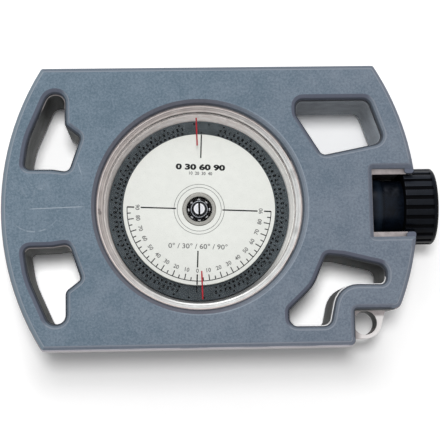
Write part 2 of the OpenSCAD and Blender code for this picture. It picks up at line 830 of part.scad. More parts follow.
chassis();
front_skin();
rear_skin();
capsule_liner();
bezel_ring();
crystal();
index_lines();
crystal_gasket();
rear_cover();
rear_cover_screws();
rear_cover_gasket();
pivot_post();
pivot_screw();
bearing_inner_ring();
bearing_outer_ring();
bearing_balls();
ball_cage();
dial_face();
scale_drum();
dial_hub();
counterweight();
counterweight_screws();
damping_magnets();
scale_window();
window_gasket();
hairline();
eyepiece_barrel();
lens_cell();
eye_lens();
lens_retainer();
focus_o_ring();
focus_cap();
cap_retaining_ring();
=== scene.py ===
import json
import math

import bpy
from mathutils import Matrix, Vector


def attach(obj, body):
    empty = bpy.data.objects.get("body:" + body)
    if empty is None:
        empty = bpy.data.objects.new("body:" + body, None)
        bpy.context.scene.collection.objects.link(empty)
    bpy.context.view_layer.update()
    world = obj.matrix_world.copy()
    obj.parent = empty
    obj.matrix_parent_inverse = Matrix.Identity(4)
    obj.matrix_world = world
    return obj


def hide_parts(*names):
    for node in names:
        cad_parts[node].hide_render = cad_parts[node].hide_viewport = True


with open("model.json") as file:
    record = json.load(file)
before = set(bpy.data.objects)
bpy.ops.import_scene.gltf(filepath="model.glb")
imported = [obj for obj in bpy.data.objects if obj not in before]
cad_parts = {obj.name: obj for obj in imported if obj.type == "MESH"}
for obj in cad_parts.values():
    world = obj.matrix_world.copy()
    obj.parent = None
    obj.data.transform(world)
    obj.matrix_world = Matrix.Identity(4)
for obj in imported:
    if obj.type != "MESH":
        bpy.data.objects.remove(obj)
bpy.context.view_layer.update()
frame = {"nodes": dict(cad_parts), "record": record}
nodes = frame["nodes"]
scene = bpy.context.scene
MM = 0.001

# The body in millimetres: its middle height, half its width, the circles of its two ends, the
# eyepiece's axis in Y and Z, and the radii of the notch round it, its cap and the dial's capsule
MID_UP = 13
HALF_WIDTH = 42.5
END_RADIUS = 80.8
LEFT_END = (21.5, 0)
RIGHT_END = (-15.1, 0)
EYE_AXIS = (0.3, MID_UP)
NOTCH_RADIUS = 13
CAP_RADIUS = 11.7
CAPSULE_RADIUS = 31

# The wheel: the heights of its two printed faces, how far the print lies off them and how thick it
# is, how high a figure is as a share of its font's size, and how the wheel is turned at rest
FACE_UP = 17.1 * MM
DRUM_UP = 14.6 * MM
PRINT_GAP = 0.01 * MM
PRINT_THICK = 0.03
FIGURE_HEIGHT = 0.7
WHEEL_TURN = math.radians(-2.65)

# The camera looks down on the dial, as in the photograph; its turns are in degrees
bpy.ops.object.camera_add(
    location=(-0.0088051, -0.0495174, 0.4003962),
    rotation=[math.radians(turn) for turn in (6.8944, -2.1258, -1.093)],
)
scene.camera = bpy.context.object
scene.camera.data.lens = 103.284
scene.view_settings.view_transform = "Standard"


class Value:
    """A shader value that plain Python arithmetic works on."""

    def __init__(self, nodes, socket):
        self.nodes = nodes
        self.socket = socket

    def maths(self, operation, *values):
        """A value worked out from others by one operation."""
        settings = {"operation": operation}
        return self.nodes.add("ShaderNodeMath", settings, dict(enumerate(values)))

    def __add__(self, other):
        return self.maths("ADD", self, other)

    def __sub__(self, other):
        return self.maths("SUBTRACT", self, other)

    def __rsub__(self, other):
        return self.maths("SUBTRACT", other, self)

    def __mul__(self, other):
        return self.maths("MULTIPLY", self, other)

    def __truediv__(self, other):
        return self.maths("DIVIDE", self, other)

    def __abs__(self):
        return self.maths("ABSOLUTE", self)

    __radd__ = __add__
    __rmul__ = __mul__

    def least(self, other):
        """The smaller of two values, so never above other."""
        return self.maths("MINIMUM", self, other)

    def most(self, other):
        """The larger of two values, so never below other."""
        return self.maths("MAXIMUM", self, other)

    def root(self):
        """The square root."""
        return self.maths("SQRT", self)

    def step(self, low, high):
        """0 below low, 1 above high, and smooth between."""
        return self.nodes.add(
            "ShaderNodeMapRange", {"interpolation_type": "SMOOTHSTEP"},
            {"Value": self, "From Min": low, "From Max": high},
        )

    def near(self, middle, width):
        """1 at middle, falling to 0 at a distance of width."""
        return (1 - abs(self - middle) / width).most(0)


class Nodes:
    """The nodes of one material or world."""

    def __init__(self, tree):
        self.tree = tree

    def add(self, kind, settings=None, inputs=None, out=0):
        """A new node, with its settings made before its inputs are fed; gives one output."""
        node = self.tree.nodes.new(kind)
        for name, value in (settings or {}).items():
            setattr(node, name, value)
        for name, value in (inputs or {}).items():
            self.feed(node.inputs[name], value)
        return Value(self, node.outputs[out])

    def feed(self, socket, value):
        """Links a value to a socket, or sets the socket to a constant."""
        if isinstance(value, Value):
            self.tree.links.new(value.socket, socket)
        else:
            socket.default_value = value

    def mix_number(self, share, first, second):
        """A number between two numbers."""
        return first * (1 - share) + second * share

    def mix(self, share, first, second):
        """A colour between two colours."""
        return self.add(
            "ShaderNodeMix", {"data_type": "RGBA"}, {0: share, 6: first, 7: second}, out=2
        )

    def stain(self, base, share, red, green, blue):
        """A colour with a share of another colour, given from 0 to 255, laid over it."""
        return self.mix(share, base, colour(red, green, blue))


def colour(red, green, blue):
    """A colour as a shader takes it, from the values 0 to 255 that a picture shows."""
    shown = (value / 255 for value in (red, green, blue))
    return [*(v / 12.92 if v < 0.0404 else ((v + 0.055) / 1.055) ** 2.4 for v in shown), 1]


def grey(strength):
    """A neutral colour of a given strength."""
    return (strength, strength, strength, 1)


class Finish(Nodes):
    """A procedural material on Object coordinates."""

    def __init__(self, name, **fixed):
        self.material = bpy.data.materials.new(name)
        self.material.use_nodes = True
        super().__init__(self.material.node_tree)
        self.shader = self.tree.nodes["Principled BSDF"]
        for socket, value in fixed.items():
            self.shader.inputs[socket.replace("_", " ")].default_value = value
        self.place = self.add("ShaderNodeTexCoord", out="Object")

    def noise(self, size, detail=2.0, rough=0.5, stretch=(1, 1, 1)):
        """Noise whose patches are about size millimetres across."""
        where = self.place
        if stretch != (1, 1, 1):
            multiply = {"operation": "MULTIPLY"}
            where = self.add("ShaderNodeVectorMath", multiply, {0: where, 1: stretch})
        return self.add(
            "ShaderNodeTexNoise", {},
            {"Vector": where, "Scale": 1 / (size * MM), "Detail": detail, "Roughness": rough},
        )

    def along(self, axis):
        """The place along an axis, in millimetres."""
        return self.add("ShaderNodeSeparateXYZ", {}, {0: self.place}, out=axis) / MM

    def radius(self, middle=(0, 0), axes=("X", "Y")):
        """The distance in millimetres from a point, in the plane of two axes."""
        first, second = (self.along(axis) - at for axis, at in zip(axes, middle))
        return (first * first + second * second).root()

    def rings(self, pitch, detail=3.0):
        """Fine turned rings round the dial's axis, about pitch millimetres apart."""
        return self.add(
            "ShaderNodeTexNoise", {"noise_dimensions": "1D"},
            {"W": self.radius() / pitch, "Scale": 1.0, "Detail": detail},
        )

    def notch(self):
        """Near 1 on the walls round the eyepiece, which are painted near black as shade, 0
        elsewhere.
        """
        x = self.along("X")
        length = x.step(52.3, 52.6) * x.step(64.8, 64.4)
        round_it = self.radius(EYE_AXIS, "YZ").step(NOTCH_RADIUS + 0.3, NOTCH_RADIUS)
        return length * round_it * 0.94

    def within(self, near, far):
        """1 inside the body's outline, 0 outside it, between two distances from its edge."""
        share = abs(self.along("Y")).step(HALF_WIDTH - near, HALF_WIDTH - far)
        for end in (LEFT_END, RIGHT_END):
            share = share * self.radius(end).step(END_RADIUS - near, END_RADIUS - far)
        return share

    def facing(self, axis):
        """How far the surface faces along an axis, from -1 to 1."""
        normal = self.add("ShaderNodeTexCoord", out="Normal")
        return self.add("ShaderNodeSeparateXYZ", {}, {0: normal}, out=axis)

    def paint(self, base):
        """Sets the base colour."""
        self.feed(self.shader.inputs["Base Color"], base)

    def rough(self, value):
        """Sets the roughness."""
        self.feed(self.shader.inputs["Roughness"], value)

    def metal(self, value):
        """Sets how metallic it is."""
        self.feed(self.shader.inputs["Metallic"], value)

    def relief(self, height, depth):
        """Bumps of the given depth in millimetres."""
        bump = self.add("ShaderNodeBump", {}, {"Height": height, "Distance": depth * MM})
        self.feed(self.shader.inputs["Normal"], bump)


def rubber(name, front):
    """Soft blue-grey moulded rubber: fine grain, mottling, greyer outer bevels and a few scuff
    marks, with painted light and shade on its bevels.
    """
    f = Finish(name, Specular_IOR_Level=0.3)
    cloud = f.noise(7, 4, 0.65)
    fine = f.noise(0.7, 3, 0.75)
    grain = f.noise(0.17, 2)
    x, y, z = (f.along(axis) for axis in "XYZ")
    tone = (cloud * 0.35 + fine * 0.65).step(0.3, 0.7)
    blue = f.mix(tone, colour(86, 105, 119), colour(119, 135, 149))
    ashen = f.mix(tone, colour(93, 103, 117), colour(122, 132, 144))
    base = f.mix((x * 0.7 - y * 0.5 + (cloud - 0.5) * 60).step(-45, 60), blue, ashen)
    base = f.stain(base, f.noise(0.45, 1).step(0.64, 0.74) * 0.3, 138, 148, 158)
    base = f.stain(base, f.noise(0.6, 2, 0.6).step(0.66, 0.78) * 0.35, 70, 82, 96)

    # Where a place is: how far from the middle height, which way it faces, on the bevel (slope)
    # or its upper edge, and at the notch, the dial's hole or the lanyard corner
    level = abs(z - MID_UP)
    right, up, upright = f.facing("X"), f.facing("Y"), abs(f.facing("Z"))
    slope = (1 - upright).step(0.08, 0.24)
    edge = (1 - upright).step(0.004, 0.03) * (1 - slope)
    notch = abs(y).step(13.5, 13) * x.step(48, 50)
    dial = f.radius().step(34.5, 34)
    lanyard = x.step(43, 45) * y.step(-28, -30)
    inner = f.within(2.0, 2.7).most(notch)
    outer = slope * (1 - inner)

    # Painted shade on inner bevels turned away from the light, a painted shadow along the foot of a
    # bevel, and a painted highlight along its upper edge
    away = f.mix_number(dial, (right - up).step(-0.2, 0.4), right.step(-0.55, 0.0))
    away = away * inner * (1 - notch * 0.4) * (1 - lanyard * 0.45)
    lip = slope * level.step(12.2, 11.95) * (1 - notch) * (inner * 0.7 + 0.15)
    crease = (slope * level.step(12.55, 12.7) + edge).least(1)
    crease = crease * (1 - away) * (1 - dial * inner * 0.4)

    # The outer bevels tinted greyer, with painted shade on those facing +Y and painted light on
    # those facing -X
    base = f.stain(base, outer * 0.55, 110, 115, 128)
    base = f.stain(base, outer * up.step(0.3, 0.6) * 0.35, 88, 102, 114)
    base = f.stain(base, outer * right.step(-0.2, -0.45) * 0.8, 122, 137, 149)
    # Painted light on the inner bevels that face the light, and painted shade on those turned away
    base = f.stain(base, slope * inner * (1 - away) * 0.4, 124, 132, 143)
    shade = f.mix(dial, colour(96, 98, 113), colour(94, 92, 102))
    base = f.mix(slope * away * 0.8, base, shade)
    # The painted shadow along the bevels' foot and the painted highlight along their upper edge
    base = f.stain(base, lip * 0.85, 44, 48, 56)
    base = f.stain(base, crease * 0.36, 168, 172, 182)
    # Painted shade on the low tops of the rubber ears beside the notch
    ears = level.step(11.85, 11.7) * upright.step(0.8, 0.95) * x.step(58, 60)
    base = f.stain(base, ears * 0.8, 88, 92, 107)

    if front:
        # A painted highlight along the foot of the lower outer bevel, standing for the lit metal
        # edge under the rubber, uneven along its length
        foot = z.step(24.6, 24.65) * z.step(24.95, 24.8)
        silver = outer * (1 - lanyard) * up.step(-0.3, -0.6) * foot
        uneven_glint = f.noise(9, 2).step(0.3, 0.5) * 0.4 + 0.3
        base = f.stain(base, silver * uneven_glint, 206, 202, 210)
        line = (y - x * 0.03).near(1.15, 0.2) * x.near(-42.8, 9).step(0, 0.3)
        line = line * f.noise(1.6, 2).step(0.2, 0.45)
        arch = f.radius((-49.4, 0.9)).near(8.1, 0.25) * y.step(-2.5, -6.5) * x.step(-57, -52)
        arch = arch * f.noise(1.2, 2).step(0.35, 0.6)
        nick = (x + y * 0.3).near(-32.3, 0.16) * y.near(11.5, 2.4).step(0, 0.5)
        patch = f.radius((-50, 6)).step(9, 2) * f.noise(2.5, 4, 0.7).step(0.5, 0.72)
        # A painted highlight along the top edge of the dial hole's bevel at its right, added to the
        # scuff marks
        ring = f.radius().near(32.7, 0.25) * (x - y * 0.4).step(-10, 20)
        scuffs_and_highlight = line * 0.6 + arch * 0.4 + nick * 0.45 + patch * 0.2 + ring * 0.35
        scuffs_and_highlight = scuffs_and_highlight.least(0.7) * z.step(25.6, 25.9)
    else:
        streaks = f.noise(0.5, 2, 0.5, (1, 0.06, 1)).step(0.66, 0.72)
        scuffs_and_highlight = streaks * f.noise(14, 2).step(0.5, 0.7) * 0.4
    f.paint(f.stain(base, scuffs_and_highlight, 190, 198, 208))
    f.rough(0.5 + fine * 0.22 - scuffs_and_highlight * 0.1)
    f.relief(grain + fine * 0.8, 0.035)
    return f.material


def cast(name):
    """Bare cast metal: matt and speckled, with painted light and shade on the walls, and near black
    round the eyepiece as painted shade.
    """
    f = Finish(name, Metallic=0.25, Specular_IOR_Level=0.3)
    fine = f.noise(0.35, 3, 0.7)
    cloud = f.noise(3.5, 3)
    tone = (fine * 0.6 + cloud * 0.4).step(0.3, 0.7)
    x, y = f.along("X"), f.along("Y")
    base = f.mix(tone, colour(112, 114, 113), colour(146, 147, 147))

    # Painted light and shade on the walls: those of the upper right opening lighter, its right wall
    # most, and darker upper walls in the upper left and lower right openings and darker walls in
    # the lower left one
    upper = y.step(10, 12)
    pale = f.mix(tone, colour(142, 148, 156), colour(176, 182, 190))
    base = f.mix(x.step(20, 24) * upper * 0.7, base, pale)
    palest = f.mix(tone, colour(176, 184, 192), colour(214, 222, 230))
    base = f.mix(x.step(52, 55) * upper * f.facing("X").step(-0.3, -0.7) * 0.8, base, palest)
    far_left = x.step(-35, -37)
    deep = far_left * y.step(26, 31) + x.step(24, 26) * y.near(-17, 5).step(0, 0.5)
    base = f.stain(base, deep.least(1) * 0.8, 50, 52, 51)
    base = f.stain(base, far_left * y.step(-5, -8) * 0.3, 66, 68, 64)
    # Painted shade: the walls round the eyepiece made near black
    f.paint(f.stain(base, f.notch(), 16, 18, 22))
    f.rough(0.55 + fine * 0.3)
    f.relief(fine + f.noise(0.12, 2) * 0.6, 0.05)
    return f.material


def machined(name):
    """Machined metal: bright at the notch and the lug, painted shade and highlights at the
    openings' lips, milled outside.
    """
    f = Finish(name, Metallic=0.8)
    marks = f.noise(0.35, 3, 0.6, (1, 5, 1))
    cloud = f.noise(1.8, 3)
    tone = (marks * 0.5 + cloud * 0.5).step(0.3, 0.7)
    x, y, z = (f.along(axis) for axis in "XYZ")
    flat = f.facing("Z")
    bright = f.mix(tone, colour(150, 143, 143), colour(180, 173, 173))
    shaded_tone = f.mix(tone, colour(58, 60, 64), colour(84, 86, 90))

    # Painted shade on the lips of the openings, made darker except where the light from above
    # reaches them, and a painted highlight on the curved lip of the lower right opening
    inside = f.within(0.9, 1.3)
    left, high = x.step(-34, -36), z.step(20, 21)
    lips = high * (left + abs(y).step(13.4, 14) * x.step(24, 26)).least(1) * inside
    under_arm = x.step(44, 45) * y.step(-27, -28)
    curve = y.step(-21.8, -22.4) * (x - (y + 36.5) * 0.9).step(26.5, 27.5) * (1 - under_arm)
    tops = left * (y.step(29, 31) + y.near(-11.6, 1.6).step(0, 0.3)).least(1)
    shown = (curve * 0.85 + tops * 0.7).least(1)
    base = f.mix(lips * (1 - shown), bright, shaded_tone)
    base = f.stain(base, lips * curve * 0.8, 246, 247, 248)

    # The body's outer sides, with fine lines along them
    milled = f.noise(0.5, 4, 0.6, (0.04, 0.04, 1))
    sides = (1 - abs(flat)).step(0.5, 0.8) * (1 - inside)
    streaks = (milled * 0.7 + f.noise(0.3, 3) * 0.3).step(0.3, 0.7)
    base = f.mix(sides, base, f.mix(streaks, colour(150, 147, 148), colour(178, 175, 176)))

    # A painted highlight on the lower rim, painted shade on the ends of the notch's ledges, and the
    # lug
    base = f.stain(base, y.step(-41.8, -42.2) * z.step(22.4, 22.8) * 0.75, 206, 203, 208)
    ends = x.step(62.7, 63.1) * abs(y).step(13, 12.5) * high * flat.step(0.7, 0.9)
    base = f.stain(base, ends, 38, 40, 48)
    lug = x.step(47, 49) * y.step(-33, -34) * z.step(24, 23) * flat.step(0.8, 0.9)
    base = f.stain(base, lug * 0.8, 246, 243, 242)
    # Painted shade: the walls round the eyepiece made near black
    f.paint(f.stain(base, f.notch(), 16, 18, 22))
    f.rough(0.42 + marks * 0.2)
    f.relief(marks * (1 - sides) + milled * sides * 2, 0.01)
    return f.material


def raced(name, start, end, dark, light, rim):
    """A bearing ring: steel that turns into its rim's colour between two radii."""
    f = Finish(name, Metallic=0.9)
    dark_line = 3.78
    r = f.radius()
    rings = f.rings(0.12, 2.0)
    tone = (rings * 0.6 + f.noise(0.8, 3) * 0.4).step(0.25, 0.75)
    base = f.mix(tone, colour(*dark), colour(*light))
    base = f.stain(base, r.step(start, end), *rim)
    f.paint(f.stain(base, r.near(dark_line, 0.3), 14, 14, 15))
    f.rough(0.22 + rings * 0.15)
    f.relief(rings, 0.004)
    return f.material


def slotted(name):
    """The pivot screw's turned head, with painted shade in the slot across it and round its edge.
    """
    f = Finish(name, Metallic=0.9)
    r = f.radius()
    rings = f.rings(0.2, 2.0)
    # Painted shade in the slot and round the head's edge
    slot = abs(f.along("X")).step(0.34, 0.26)
    rim = r.step(1.62, 1.8)
    base = f.mix(rings.step(0.3, 0.7), colour(214, 216, 222), colour(248, 249, 252))
    base = f.stain(base, r.near(1.0, 0.3) * 0.3, 150, 152, 164)
    base = f.stain(base, rim, 40, 42, 46)
    f.paint(f.stain(base, slot, 10, 10, 12))
    f.rough(0.24 + rings * 0.14)
    f.relief(rings, 0.004)
    return f.material


def ribbed(name):
    """The focusing cap: satin black and rougher in its grip grooves, with painted shade in them,
    painted light on its upper side and painted highlights along the rib edges.
    """
    f = Finish(name, Specular_IOR_Level=0.06)
    fine = f.noise(0.3, 3, 0.6)
    cloud = f.noise(2.5, 4, 0.6)
    x, y, r = f.along("X"), f.along("Y"), f.radius(EYE_AXIS, "YZ")
    groove = r.step(CAP_RADIUS + 0.04, CAP_RADIUS - 0.2) * x.step(72.6, 71.4)
    edge = r.near(CAP_RADIUS, 0.13) * x.step(71, 70.4)
    base = f.mix((fine * 0.5 + cloud * 0.5).step(0.3, 0.7), colour(3, 5, 8), colour(11, 14, 21))
    # Painted light on the upper side, random pale specks, painted highlights along the rib edges
    # and painted shade in the grooves
    base = f.stain(base, y.step(0, 10) * 0.2, 34, 42, 56)
    base = f.stain(base, f.noise(0.22, 1).step(0.7, 0.8) * 0.15, 90, 92, 98)
    base = f.stain(base, edge * y.step(-9, 8) * 0.75, 76, 80, 88)
    f.paint(f.stain(base, groove * (1 - edge) * 0.9, 1, 1, 2))
    f.rough(0.26 + fine * 0.12 + groove * 0.4)
    f.relief(fine, 0.02)
    return f.material


def barrelled(name):
    """The eyepiece's smooth black barrel, with painted highlights: a paler band round its collar
    and a paler patch.
    """
    f = Finish(name, Specular_IOR_Level=0.14)
    fine = f.noise(0.6, 3, 0.6)
    cloud = f.noise(2.5, 4, 0.6)
    x, y = f.along("X"), f.along("Y")
    base = f.mix((fine * 0.5 + cloud * 0.5).step(0.3, 0.7), colour(5, 8, 14), colour(17, 24, 35))
    # Painted highlights: a paler band round the collar and a paler patch on the upper side
    base = f.stain(base, x.near(54.9, 1.4) * 0.4, 38, 50, 64)
    patch = (x.step(56.2, 57.2) * x.step(61.6, 60.8) * y.near(4.6, 2.2)).least(1)
    base = f.stain(base, patch * cloud.step(0.2, 0.7) * 0.7, 62, 64, 70)
    f.paint(f.stain(base, x.near(56.1, 0.3) * 0.6, 2, 3, 5))
    f.rough(0.3 + fine * 0.15)
    f.relief(fine, 0.012)
    return f.material


def ringed(name):
    """The bezel: turned metal, with painted light and shade across it, painted shade along thin
    lines and a painted highlight on its rim.
    """
    f = Finish(name, Metallic=0.85)
    x, y, r = f.along("X"), f.along("Y"), f.radius()
    rings = f.rings(0.1)
    cloud = f.noise(3, 3)
    tone = (rings * 0.5 + cloud * 0.5).step(0.25, 0.75)
    # Painted light: a darker copy of the metal at the upper left and a lighter one at the lower
    # right
    left = f.mix(tone, colour(170, 162, 159), colour(204, 196, 193))
    right = f.mix(tone, colour(204, 205, 204), colour(236, 237, 236))
    base = f.mix((x - y * 0.7).step(-28, 24), left, right)
    # A painted highlight on the outer rim, which is also made less metallic
    rim = r.step(30.5, 30.65)
    base = f.stain(base, rim, 255, 246, 243)

    # Painted shade along two turned lines, mostly at the upper left, a drop-shaped mark at the left
    # and faint smudges
    upper_left = (y - x * 0.8).step(-12, 14) * 0.95 + 0.05
    lines = (r.near(30.35, 0.2) * 0.55 + r.near(29.85, 0.15) * 0.2) * upper_left
    point = f.radius((-30.25, -0.5)).step(0.5, 0.25)
    drop = (point + f.radius((-30.0, -1.4)).step(0.75, 0.45)).least(1) * 0.5
    smudge = f.radius((28.4, 9.5)).step(2.4, 0.8) * 0.22
    smudge = smudge + f.radius((28.4, -7.7)).step(2, 0.6) * 0.18
    f.paint(f.stain(base, (lines + drop + smudge).least(0.85), 92, 88, 88))
    f.metal(0.85 - rim * 0.7)
    f.rough(0.28 + rings * 0.12 + cloud * 0.06)
    f.relief(rings, 0.006)
    return f.material


def lining(name):
    """The capsule's pale wall, with a soft painted glow, less so at the bottom, a painted lighter
    right side and painted shade at the bottom.
    """
    f = Finish(name, Specular_IOR_Level=0.3, Emission_Strength=0.32)
    x, y, z = (f.along(axis) for axis in "XYZ")
    cloud = f.noise(2.5, 3)
    base = f.mix(cloud.step(0.3, 0.7), colour(224, 216, 212), colour(244, 238, 235))
    # Painted light on the right side and painted shade at the bottom
    base = f.stain(base, (x - y * 0.3).step(0, 26) * 0.6, 244, 247, 243)
    base = f.stain(base, y.step(-10, -26) * 0.9, 88, 91, 93)
    f.paint(base)
    # A painted glow: the wall gives off light of its own, more towards the upper right and deeper
    # down
    glow = ((x + y * 0.5).step(-14, 22) * 0.6 + 0.4) * (z.step(19.4, 15.5) * 0.6 + 0.4)
    f.feed(f.shader.inputs["Emission Color"], f.mix(glow, grey(0), base))
    f.rough(0.4 + cloud * 0.15)
    f.relief(cloud, 0.004)
    return f.material


def turned(name, dark, light, roughness, pitch=0.12):
    """Metal turned on a lathe: fine rings round the dial's axis."""
    f = Finish(name, Metallic=1.0)
    rings = f.rings(pitch)
    cloud = f.noise(2.2, 3)
    f.paint(f.mix((rings * 0.7 + cloud * 0.3).step(0.25, 0.75), colour(*dark), colour(*light)))
    f.rough(roughness + rings * 0.12 + cloud * 0.06)
    f.relief(rings, 0.006)
    return f.material


def grained(name, dark, light, roughness, grain=0.2, depth=0.02, metallic=0.0, shine=0.5):
    """An even surface with a fine grain: plastic, paint, rubber or plated metal."""
    f = Finish(name, Metallic=metallic, Specular_IOR_Level=shine)
    fine = f.noise(grain, 3, 0.6)
    cloud = f.noise(2.5, 4, 0.6)
    f.paint(f.mix((fine * 0.5 + cloud * 0.5).step(0.3, 0.7), colour(*dark), colour(*light)))
    f.rough(roughness + fine * 0.15 + cloud * 0.08)
    f.relief(fine, depth)
    return f.material


def printed(name, dark, light, shine=0.5):
    """Printed ink, slightly uneven."""
    return grained(name, dark, light, 0.5, grain=0.15, depth=0.004, shine=shine)


def clear(name, tint, gloss):
    """Clear plastic or glass that lets light through and mirrors a little."""
    f = Finish(name)
    f.tree.nodes.remove(f.shader)
    through = f.add("ShaderNodeBsdfTransparent", {}, {"Color": colour(*tint)})
    sheen = f.add("ShaderNodeBsdfGlossy", {}, {"Roughness": 0.03})
    share = f.add("ShaderNodeFresnel", {}, {"IOR": 1.49})
    smear = f.noise(4, 3).step(0.3, 0.7) * 0.15 + 0.85
    both = f.add("ShaderNodeMixShader", {}, {0: share * smear * gloss, 1: through, 2: sheen})
    f.feed(f.tree.nodes["Material Output"].inputs["Surface"], both)
    return f.material


# The finishes. DULL is the specular level of dark parts that hardly shine.
DULL = 0.14
SKIN = rubber("blue_grey_rubber", True)
REAR_SKIN = rubber("blue_grey_rubber_back", False)
CAST = cast("cast_metal")
BRIGHT = machined("machined_metal")
CAPSULE = grained(
    "capsule_wall", (176, 171, 168), (206, 201, 198), 0.42, grain=0.5, depth=0.004, metallic=0.35
)
LINER = lining("liner_pale")
BEZEL = ringed("bezel_metal")
COVER = turned("rear_cover_metal", (142, 141, 138), (178, 177, 173), 0.34, pitch=0.2)
RACE = raced(
    "bearing_outer_steel", start=3.8, end=5.2,
    dark=(146, 146, 141), light=(178, 178, 172), rim=(170, 168, 163),
)
STEEL = raced(
    "bearing_inner_steel", start=2.34, end=2.46,
    dark=(16, 16, 18), light=(40, 42, 46), rim=(168, 172, 178),
)
SCREW = turned("screw_steel", (168, 170, 176), (222, 224, 230), 0.22, pitch=0.3)
PIVOT = slotted("pivot_steel")
BALL = grained(
    "ball_steel", (150, 150, 153), (206, 206, 208), 0.08, grain=0.4, depth=0.0, metallic=1.0
)
CAGE = grained("cage_black", (2, 2, 3), (12, 12, 14), 0.5, shine=DULL)
POST = turned("post_metal", (160, 158, 150), (196, 194, 186), 0.3)
DIAL = grained("dial_white", (228, 230, 225), (235, 237, 232), 0.45, grain=0.25, depth=0.005)
DRUM = grained("drum_dark", (58, 64, 67), (84, 92, 97), 0.6, grain=0.3, shine=DULL)
BRASS = turned("weight_brass", (176, 142, 70), (206, 176, 104), 0.3)
MAGNET = grained(
    "magnet_plated", (150, 150, 154), (180, 180, 184), 0.2, grain=0.4, depth=0.004, metallic=1.0
)
SEAL = grained("seal_rubber", (24, 24, 25), (38, 38, 40), 0.6)
CRYSTAL_SEAL = grained("crystal_seal", (214, 208, 205), (236, 231, 228), 0.6)
BLACK = ribbed("eyepiece_black")
BARREL = barrelled("barrel_black")
CELL = grained("cell_black", (16, 16, 18), (28, 28, 31), 0.5, shine=DULL)
GLASS = clear("crystal_clear", (255, 255, 255), gloss=0.12)
LENS = clear("lens_glass", (240, 247, 252), gloss=1.0)
INK = printed("ink_black", (16, 17, 19), (34, 36, 38), DULL)
GREY_INK = printed("ink_grey", (84, 85, 85), (116, 117, 116))
RED = printed("ink_red", (180, 22, 40), (206, 40, 56))
DRUM_INK = printed("ink_on_drum", (4, 4, 5), (12, 12, 14), DULL)


def only(*chosen):
    """Leaves just these objects selected, the first of them active."""
    bpy.ops.object.select_all(action="DESELECT")
    for piece in chosen:
        piece.select_set(True)
    bpy.context.view_layer.objects.active = chosen[0]


def settle(piece, name, material, body, *stands_for):
    """Names a finished piece, and gives it its material, its body and any node it stands for."""
    piece.name = name
    piece.data.name = name
    piece.data.materials.clear()
    piece.data.materials.append(material)
    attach(piece, body)
    if stands_for:
        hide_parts(*stands_for)
    return piece


def body_of(node):
    """The name of the body that a CAD node rides on."""
    bodies = frame["record"]["behaviour"]["bodies"]
    return next(name for name, held in bodies.items() if node in held)


def eased(node, material, width, segments=2, sharp=35):
    """A copy of a CAD node that stands for it, with its edges over an angle rounded."""
    source = nodes[node]
    piece = source.copy()
    piece.data = source.data.copy()
    piece.parent = None
    piece.matrix_world = Matrix.Identity(4)
    scene.collection.objects.link(piece)
    only(piece)
    bpy.ops.object.mode_set(mode="EDIT")
    bpy.ops.mesh.select_all(action="SELECT")
    bpy.ops.mesh.remove_doubles(threshold=2e-6)
    bpy.ops.mesh.customdata_custom_splitnormals_clear()
    bpy.ops.mesh.dissolve_limited(angle_limit=math.radians(0.4))
    bpy.ops.object.mode_set(mode="OBJECT")
    bevel = piece.modifiers.new("edges", "BEVEL")
    bevel.width = width * MM
    bevel.segments = segments
    bevel.limit_method = "ANGLE"
    bevel.angle_limit = math.radians(sharp)
    bpy.ops.object.modifier_apply(modifier=bevel.name)
    bpy.ops.object.shade_smooth_by_angle(angle=math.radians(sharp))
    return settle(piece, node + "_eased", material, body_of(node), node)


# CAD nodes that are shown as they are, with a better material in their slots
CARRIED = {
    "crystal_gasket": CRYSTAL_SEAL, "rear_cover_gasket": SEAL, "pivot_post": POST,
    "bearing_balls": BALL, "ball_cage": CAGE, "dial_hub": POST, "counterweight": BRASS,
    "counterweight_screws": SCREW, "damping_magnets": MAGNET, "scale_window": GLASS,
    "window_gasket": SEAL, "hairline": INK, "lens_cell": CELL, "eye_lens": LENS,
    "lens_retainer": CELL, "focus_o_ring": SEAL, "cap_retaining_ring": CELL,
    "index_lines": RED, "crystal": GLASS,
}
for name, material in CARRIED.items():
    for slot in nodes[name].material_slots:
        slot.material = material

eased("front_skin", SKIN, 0.3, segments=3, sharp=20)
eased("rear_skin", REAR_SKIN, 0.3, segments=3, sharp=20)
chassis = eased("chassis", CAST, 0.15)
eased("capsule_liner", LINER, 0.08)
eased("bezel_ring", BEZEL, 0.04, sharp=25)
eased("rear_cover", COVER, 0.15)
eased("rear_cover_screws", SCREW, 0.08)
eased("dial_face", DIAL, 0.12, segments=3)
eased("scale_drum", DRUM, 0.12)
eased("bearing_inner_ring", STEEL, 0.12)
eased("bearing_outer_ring", RACE, 0.15)
eased("pivot_screw", PIVOT, 0.08)
eased("eyepiece_barrel", BARREL, 0.15)
eased("focus_cap", BLACK, 0.12, sharp=30)

# The chassis: machined where it is flat or on the outside, pale in the capsule, and bare casting
# on the walls of the four openings, which lie in these ranges of x and y
OPENINGS = [
    (-53, -35.5, 10.5, 35.5), (-53, -35.5, -35.5, -10.5), (29, 56, 14.5, 32.5), (25.5, 56, -37, -15)
]
OUTER_WALL = 1.8
IN_BRIGHT, IN_CAPSULE = 1, 2
chassis.data.materials.append(BRIGHT)
chassis.data.materials.append(CAPSULE)


def in_opening(x, y):
    """Whether a place in millimetres lies in an opening, and not in the wall outside it."""
    from_ends = max(math.hypot(x - end[0], y) for end in (LEFT_END, RIGHT_END))
    if from_ends >= END_RADIUS - OUTER_WALL:
        return False
    return any(left < x < right and low < y < high for left, right, low, high in OPENINGS)


for face in chassis.data.polygons:
    x, y = face.center.xy / MM
    if abs(face.normal.z) > 0.8:
        face.material_index = IN_BRIGHT
    elif math.hypot(x, y) < CAPSULE_RADIUS:
        face.material_index = IN_CAPSULE
    elif not in_opening(x, y):
        face.material_index = IN_BRIGHT


